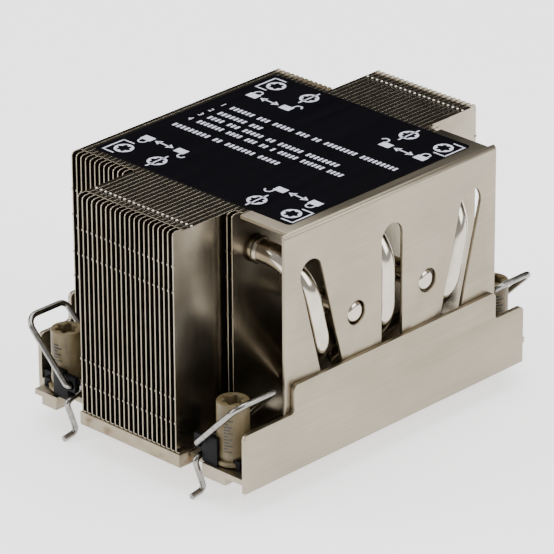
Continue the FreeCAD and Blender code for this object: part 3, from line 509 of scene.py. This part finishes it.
def ring_points(radius_at):
    """Points round a nut, with the radius as a function of the angle."""
    turns = [2 * math.pi * step / NUT_AROUND for step in range(NUT_AROUND)]
    return [(radius_at(turn) * math.cos(turn), radius_at(turn) * math.sin(turn))
            for turn in turns]


def lobed(turn):
    """The socket's radius at an angle."""
    return SOCKET_MEAN + SOCKET_SWING * math.cos(SOCKET_LOBES * turn)


def nut_mesh(name, low, high):
    """A nut as stacked rings: bore, collar, barrel, rim, lobed socket and socket floor."""
    middle = (low + high) / 2 / mm
    foot, top = low.z / mm, high.z / mm
    collar = (high.x - low.x) / 2 / mm
    levels = [(foot + NUT_BORE_DEPTH, NEARLY_SHUT), (foot + NUT_BORE_DEPTH, NUT_BORE),
              (foot, NUT_BORE), (foot, collar - 0.15), (foot + 0.15, collar),
              (foot + 1.0, collar), (foot + 1.2, collar - 0.2), (foot + 1.25, NUT_NECK),
              (foot + 2.2, NUT_NECK), (foot + 2.3, NUT_BARREL), (foot + 3.6, NUT_BARREL),
              (foot + 3.8, NUT_SHANK), (top - 0.3, NUT_SHANK), (top - 0.08, NUT_BARREL - 0.2),
              (top, NUT_BARREL - 0.42)]
    socket_levels = [(top, lambda turn: lobed(turn) + SOCKET_LEAD_IN), (top - 0.2, lobed),
                     (top - SOCKET_DEPTH, lobed),
                     (top - SOCKET_DEPTH - SOCKET_CONE, lambda turn: NEARLY_SHUT)]
    rings = [[(*spot, height) for spot in ring_points(lambda turn, size=size: size)]
             for height, size in levels]
    rings += [[(*spot, height) for spot in ring_points(radius_at)]
              for height, radius_at in socket_levels]
    mesh = bmesh.new()
    rows = [[mesh.verts.new(((x + middle.x) * mm, (y + middle.y) * mm, z * mm))
             for x, y, z in ring] for ring in rings]
    for near, far in zip(rows, rows[1:]):
        for step in range(NUT_AROUND):
            after = (step + 1) % NUT_AROUND
            mesh.faces.new((near[step], near[after], far[after], far[step]))
    mesh.faces.new(rows[0][::-1])
    mesh.faces.new(rows[-1])
    return to_mesh(name, mesh)


def faded_ink():
    """Thin grey-brown ink stamped on the barrel."""
    material, tree, shader = new_material("faded_ink", {"Roughness": 0.6})
    patches = grain(tree, (0.5, 0.5, 0.5))
    lay_finish(tree, shader, patches, [(0.3, "#1E1C18"), (0.7, "#4A4436")])
    return material


# Lengths are in millimetres and turns in degrees. Each nut shows its column at its own turn.
DASH_ROWS, DASH_PITCH, DASH_HEIGHT = 13, 0.85, 0.5
DASH_SWEEPS = (22, 34, 16, 30)
DASH_LEAD = 17
DASH_STEPS = 6
COLUMN_BELOW_RIM = 3.0
COLUMN_TURN = {"front_right": -62, "back_right": -20, "front_left": -80, "back_left": 100}
STAMP_RELIEF = 0.02


def nut_print(low, high, turn):
    """A column of short stamped dashes down the barrel, at a turn in degrees about its axis."""
    middle = (low + high) / 2 / mm
    top = high.z / mm
    mesh = bmesh.new()
    for row in range(DASH_ROWS):
        upper = top - COLUMN_BELOW_RIM - row * DASH_PITCH
        start = turn - DASH_LEAD
        sweep = DASH_SWEEPS[row % len(DASH_SWEEPS)]
        inner, outer = (corner_arc((middle.x, middle.y), size, start, start + sweep, DASH_STEPS)
                        for size in (NUT_SHANK - STAMP_RELIEF, NUT_SHANK + STAMP_RELIEF))
        prism(mesh, outer + inner[::-1], upper - DASH_HEIGHT, upper, upward)
    return to_mesh("nut_print", mesh)


nut_ink = faded_ink()
nut_finish = tan_peek()
for corner, turn in COLUMN_TURN.items():
    node = f"nut_{corner}"
    low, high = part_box(node)
    nut = new_object(f"dressed_{node}", nut_mesh(node, low, high), nut_finish)
    soften(nut, NUT_EDGE, segments=1, angle=40)
    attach(nut, node)
    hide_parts(node)
    column = new_object(f"print_{corner}", nut_print(low, high, turn), nut_ink)
    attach(column, node)


# ---- Nut carriers
# Black moulded nylon: a plate clipped to the bracket's flange, a nest round the nut's collar, two
# ears for the wire's hinge and a stop beside the wall.

def black_nylon():
    """Moulded nylon: near black, satin, with a fine spark-eroded mould texture."""
    material, tree, shader = new_material(
        "black_nylon", {"IOR": 1.5, "Specular IOR Level": 0.12})
    # Spark-eroded grain is really 0.05 mm; 0.35 mm is the finest that still shows.
    sparks = grain(tree, (0.35, 0.35, 0.35), 4.0)
    clouds = grain(tree, (4.0, 4.0, 4.0))
    lay_finish(tree, shader, clouds, [(0.3, "#060608"), (0.7, "#0D0D10")],
               (sparks, 0.42, 0.6), (sparks, 0.2, 0.04))
    return material


CARRIER_EDGE = 0.18
carrier_finish = black_nylon()
corners = list(COLUMN_TURN)
for corner in corners:
    dressed_copy(f"carrier_{corner}", carrier_finish, "heatsink", CARRIER_EDGE)


# ---- Anti-tilt wires
# Hard spring wire, 1.6 mm, each bent cold from one rod: a short pin, two arms with a bar between
# them to push on, a long pin that turns in the carrier's ears, and a hook for the socket's frame.

def spring_wire():
    """Drawn spring steel: mid grey and glossy, with light drawing marks."""
    material, tree, shader = new_material("spring_wire", {"Metallic": 1.0})
    waves = grain(tree, (1.2, 1.2, 1.2), 3.0)
    lay_finish(tree, shader, waves, [(0.3, "#7C7A76"), (0.7, "#9C9994")], (waves, 0.16, 0.3))
    return material


# Sizes are in millimetres and the lean is in degrees from upright. The planes are distances from
# the middle along Y, and the hook's points are each such a distance and a drop below the hinge.
WIRE_RADIUS = 0.8
WIRE_ARM = 20.6
WIRE_LEAN = 45.0
OUTER_PLANE, INNER_PLANE, STUB_END = 54.2, 40.6, 50.9
HOOK = ((56.0, 14.1), (51.4, 13.4), (54.6, 4.2), (49.3, 2.9), (49.3, 0.0))
WIRE_BENDS = [1.3, 1.3, 1.1, 1.1, 1.1, 2.0, 3.5, 1.1]
WIRE_BEND_STEPS = 8
WIRE_SIDES = 20
WIRE_DOME, WIRE_CROWN = 0.25, 0.55
wire_finish = spring_wire()
joint_of = {joint["child"]: joint for joint in frame["joints"]}
tilt = math.radians(WIRE_LEAN)
for corner in corners:
    node = f"wire_{corner}"
    hinge_x, _, hinge_z = [place / mm for place in joint_of[node]["pos_m"]]
    side = math.copysign(1, hinge_x)
    end = -1 if corner.startswith("front") else 1
    arm = Vector((side * math.sin(tilt), 0, math.cos(tilt))) * WIRE_ARM
    outer = Vector((hinge_x, end * OUTER_PLANE, hinge_z))
    inner = Vector((hinge_x, end * INNER_PLANE, hinge_z))
    points = [Vector((hinge_x, end * reach, hinge_z - drop)) for reach, drop in HOOK]
    points += [inner, inner + arm, outer + arm, outer,
               Vector((hinge_x, end * STUB_END, hinge_z))]
    path = bent_path(points, WIRE_BENDS, WIRE_BEND_STEPS)
    path, radii = domed(path, WIRE_RADIUS, WIRE_DOME, WIRE_CROWN)
    wire = new_object(f"dressed_{node}", round_bar(node, path, radii, WIRE_SIDES), wire_finish)
    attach(wire, node)
    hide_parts(node)


# ---- Top label
# A black polyester film label across the fin tops, screen printed in pale ink: numbered rows of
# instructions, drawn as plain blocks, a nut and bracket in each corner, and padlocks with an arrow
# between them for the wires' two places.

def polyester_film():
    """Matt black film label: nearly black, with a faint print of the fin tops below it."""
    material, tree, shader = new_material(
        "polyester_film", {"IOR": 1.45, "Specular IOR Level": 0.08})
    ridges = grain(tree, (FIN_PITCH, 60.0, 5.0), 1.0)
    lay_finish(tree, shader, ridges, [(0.3, "#040307"), (0.7, "#07060B")],
               (ridges, 0.4, 0.5), (ridges, 0.1, 0.05))
    return material


def screen_ink():
    """Screen-printed ink: pale grey-blue, matt, a little uneven where it thins."""
    material, tree, shader = new_material("screen_ink", {"IOR": 1.5, "Roughness": 0.6})
    patches = grain(tree, (0.6, 0.6, 1.0))
    lay_finish(tree, shader, patches, [(0.3, "#C3C4D4"), (0.6, "#DADBEA")])
    return material


# Sizes are in millimetres.
LABEL_CORNER = 1.2
LABEL_CORNER_STEPS = 6
LABEL_EDGE = 0.05
label_low, label_high = (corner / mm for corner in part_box("top_label"))
label_top = label_high.z
film_mesh = bmesh.new()
sheet = []
for index, (spot_x, spot_y) in enumerate([(label_high.x, label_high.y),
                                          (label_low.x, label_high.y),
                                          (label_low.x, label_low.y),
                                          (label_high.x, label_low.y)]):
    centre = (spot_x - math.copysign(LABEL_CORNER, spot_x),
              spot_y - math.copysign(LABEL_CORNER, spot_y))
    sheet += corner_arc(centre, LABEL_CORNER, 90 * index, 90 * index + 90, LABEL_CORNER_STEPS)
prism(film_mesh, sheet, label_low.z, label_top, upward)
label = new_object("dressed_label", to_mesh("label", film_mesh), polyester_film())
soften(label, LABEL_EDGE)
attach(label, "heatsink")
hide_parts("top_label")


INK = 0.02
STROKE = 0.45
FACE_RADIUS, SOCKET_VALLEY, SOCKET_POINT = 2.6, 1.4, 0.75
LOCK_HALF_WIDTH, LOCK_HALF_HEIGHT = 1.75, 1.2
SHACKLE_BOW, SHACKLE_LEG, SHACKLE_STEPS = 1.1, 0.8, 8
ARROW_HEAD, ARROW_HALF_WIDTH = 1.9, 1.2
LOCK_Y, FACE_Y = 19.0, 27.5
OPEN_X, CLOSED_X = 17.4, 29.2
ICON_SHIFT = 1.0
ARROW_FROM_OPEN, ARROW_FROM_CLOSED = 2.7, 2.5
SLASH_HALF = 4.0
BRACKET_OUT, BRACKET_ARM, BRACKET_BACK = 3.8, 3.7, 3.9


def ink_patch(mesh, outline):
    """Print a filled shape on the label."""
    prism(mesh, outline, label_top, label_top + INK, upward)


def ink_stroke(mesh, start, end):
    """Print a straight stroke between two points of the label."""
    start, end = Vector(start), Vector(end)
    aside = (end - start).orthogonal().normalized() * (STROKE / 2)
    ink_patch(mesh, [tuple(spot) for spot in (start - aside, end - aside, end + aside,
                                              start + aside)])


def nut_face(mesh, centre):
    """Print a nut seen from above: a disc with its six-pointed socket left open."""
    steps = 4 * SOCKET_LOBES
    rims = []
    for step in range(steps + 1):
        turn = 2 * math.pi * step / steps
        point = SOCKET_POINT * abs(step % 4 - 2) / 2
        rims.append([(centre[0] + reach * math.cos(turn), centre[1] + reach * math.sin(turn))
                     for reach in (FACE_RADIUS, SOCKET_VALLEY + point)])
    for near, far in zip(rims, rims[1:]):
        ink_patch(mesh, [near[0], far[0], far[1], near[1]])


def padlock(mesh, centre, way, swing):
    """Print a padlock: its arched shackle points along way in Y, swung aside along X if open."""
    x, y = centre
    left, right = x - LOCK_HALF_WIDTH, x + LOCK_HALF_WIDTH
    low, high = y - LOCK_HALF_HEIGHT, y + LOCK_HALF_HEIGHT
    ink_patch(mesh, [(left, low), (right, low), (right, high), (left, high)])
    middle, foot = x + 2 * SHACKLE_BOW * swing, y + way * LOCK_HALF_HEIGHT
    arch = corner_arc((middle, foot + way * SHACKLE_LEG), SHACKLE_BOW, 0, 180 * way,
                      SHACKLE_STEPS)
    if swing <= 0:
        arch.insert(0, (middle + SHACKLE_BOW, foot))
    if swing >= 0:
        arch.append((middle - SHACKLE_BOW, foot))
    for start, end in zip(arch, arch[1:]):
        ink_stroke(mesh, start, end)


def arrow(mesh, near, far, y):
    """Print a double-headed arrow along X."""
    ink_stroke(mesh, (near + ARROW_HALF_WIDTH, y), (far - ARROW_HALF_WIDTH, y))
    for tip, inward in ((near, 1), (far, -1)):
        base = tip + inward * ARROW_HEAD
        ink_patch(mesh, [(tip, y), (base, y - ARROW_HALF_WIDTH), (base, y + ARROW_HALF_WIDTH)])


ink_finish = screen_ink()
marks = bmesh.new()
for side in (-1, 1):
    open_x, closed_x = side * OPEN_X + ICON_SHIFT, side * CLOSED_X + ICON_SHIFT
    arrow_ends = sorted((open_x + side * ARROW_FROM_OPEN, closed_x - side * ARROW_FROM_CLOSED))
    back_x = closed_x + side * BRACKET_OUT
    for end in (-1, 1):
        lock_y, face_y = end * LOCK_Y, end * FACE_Y
        padlock(marks, (closed_x, lock_y), end, 0)
        padlock(marks, (open_x, lock_y), end, -side)
        arrow(marks, *arrow_ends, lock_y)
        nut_face(marks, (open_x, face_y))
        ink_stroke(marks, (open_x, face_y - SLASH_HALF), (open_x, face_y + SLASH_HALF))
        nut_face(marks, (closed_x, face_y))
        for edge in (-BRACKET_ARM, BRACKET_ARM):
            ink_stroke(marks, (closed_x, face_y + edge), (back_x, face_y + edge))
        ink_stroke(marks, (back_x, face_y - BRACKET_BACK), (back_x, face_y + BRACKET_BACK))
icons = new_object("printed_icons", to_mesh("icons", marks), ink_finish)
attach(icons, "heatsink")

# Each row is its middle along Y, its end along X and how many blocks stand for each word.
ROWS = ((9.4, 31.4, (6, 3, 5, 3, 2, 8, 9)), (4.9, -11.0, (7, 3)), (1.2, 19.2, (4, 3, 5, 2, 6, 8)),
        (-2.6, 24.1, (7, 4, 3, 2, 1, 5, 6, 4)), (-8.0, 7.5, (9, 2, 7, 5)))
ROW_START = -30.0
NUMBER_ROOM = 3.4
BLOCK_HEIGHT = 1.8
BLOCK_SHARE = 0.55
DIGIT_SIZE = 1.4 * BLOCK_HEIGHT
blocks = bmesh.new()
for number, (row_y, row_end, words) in enumerate(ROWS, start=1):
    numbered = number < len(ROWS)
    left = ROW_START + (NUMBER_ROOM if numbered else 0.0)
    low, high = row_y - BLOCK_HEIGHT / 2, row_y + BLOCK_HEIGHT / 2
    cell = (row_end - left) / (sum(words) + len(words) - 1)
    for word in words:
        for _ in range(word):
            right = left + cell * BLOCK_SHARE
            ink_patch(blocks, [(left, low), (right, low), (right, high), (left, high)])
            left += cell
        left += cell
    if numbered:
        figure = bpy.data.curves.new(f"row_number_{number}", "FONT")
        figure.body = str(number)
        figure.size = DIGIT_SIZE * mm
        figure.extrude = INK / 2 * mm
        digit = bpy.data.objects.new(f"row_number_{number}", figure)
        digit.location = Vector((ROW_START, low, label_top + INK / 2)) * mm
        bpy.context.scene.collection.objects.link(digit)
        digit.data.materials.append(ink_finish)
        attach(digit, "heatsink")
rows = new_object("printed_rows", to_mesh("rows", blocks), ink_finish)
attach(rows, "heatsink")


# ---- Floor, lights and camera
# A white card below the hooks, one wide softbox above and one each side, a room that darkens
# behind and above the part, and a long lens from the front right, a little above.

def white_card():
    """Matt white card, lit from below as on a light table, with a barely visible tooth."""
    material, tree, shader = new_material(
        "white_card", {"Roughness": 0.9, "Emission Color": linear("#FFFFFF"),
                       "Emission Strength": 1.2})
    tooth = grain(tree, (1.5, 1.5, 1.5))
    lay_finish(tree, shader, tooth, [(0.3, "#FBFBFB"), (0.7, "#FFFFFF")])
    return material


CARD_HALF = 4000
CARD_THICK = 10
CARD_GAP = 0.1
card_mesh = bmesh.new()
card_level = cad_box[0][2] / mm - CARD_GAP
prism(card_mesh, [(-CARD_HALF, -CARD_HALF), (CARD_HALF, -CARD_HALF), (CARD_HALF, CARD_HALF),
                  (-CARD_HALF, CARD_HALF)], card_level - CARD_THICK, card_level, upward)
card = new_object("card_floor", to_mesh("card_floor", card_mesh), white_card())


AIM = Vector((0.0, 0.0, 0.03))


def softbox(name, place, width, height, power):
    """A rectangular lamp at a place in metres, turned to face the part; power in watts."""
    lamp = bpy.data.lights.new(name, "AREA")
    lamp.shape = "RECTANGLE"
    lamp.size, lamp.size_y = width, height
    lamp.energy = power
    holder = bpy.data.objects.new(name, lamp)
    holder.location = place
    holder.rotation_euler = (AIM - Vector(place)).to_track_quat("-Z", "Y").to_euler()
    bpy.context.scene.collection.objects.link(holder)


softbox("top_softbox", (-0.1, 0.1, 1.1), 1.2, 1.2, 16.0)
softbox("left_softbox", (-0.9, -0.9, 0.6), 0.9, 0.7, 10.0)
softbox("right_softbox", (1.1, 0.5, 0.7), 0.9, 0.7, 10.0)

DARK_SIDE = (-0.62, 0.66, 0.42)
ROOM_STRENGTH = 0.5
world = bpy.data.worlds.new("studio")
world.use_nodes = True
sky = world.node_tree
heading = add_node(sky, "ShaderNodeTexCoord")
towards = add_node(sky, "ShaderNodeVectorMath", {"operation": "DOT_PRODUCT"},
                   {"Vector": heading.outputs["Generated"]})
towards.inputs[1].default_value = DARK_SIDE
drape = add_node(sky, "ShaderNodeValToRGB", links={"Fac": towards.outputs["Value"]},
                 stops=[(0.0, "#FFFFFF"), (0.55, "#D8D8D8"), (0.8, "#6A6A6A"), (1.0, "#3A3A3A")])
backdrop = sky.nodes["Background"]
backdrop.inputs["Strength"].default_value = ROOM_STRENGTH
sky.links.new(drape.outputs["Color"], backdrop.inputs["Color"])
bpy.context.scene.world = world

LENS_LENGTH, SENSOR_WIDTH = 308.8, 36.0
CAMERA_PLACE = (0.76238, -0.78584, 0.53974)
CAMERA_FORWARD = (-0.63145, 0.64949, -0.42360)
CAMERA_RIGHT = (0.71890, 0.69508, -0.00590)
lens = bpy.data.cameras.new("long_lens")
lens.lens = LENS_LENGTH
lens.sensor_width = SENSOR_WIDTH
camera = bpy.data.objects.new("long_lens", lens)
forward = Vector(CAMERA_FORWARD).normalized()
right = Vector(CAMERA_RIGHT).normalized()
camera.matrix_world = Matrix.Translation(CAMERA_PLACE) @ Matrix(
    (right, right.cross(forward), -forward)).transposed().to_4x4()
bpy.context.scene.collection.objects.link(camera)
bpy.context.scene.camera = camera
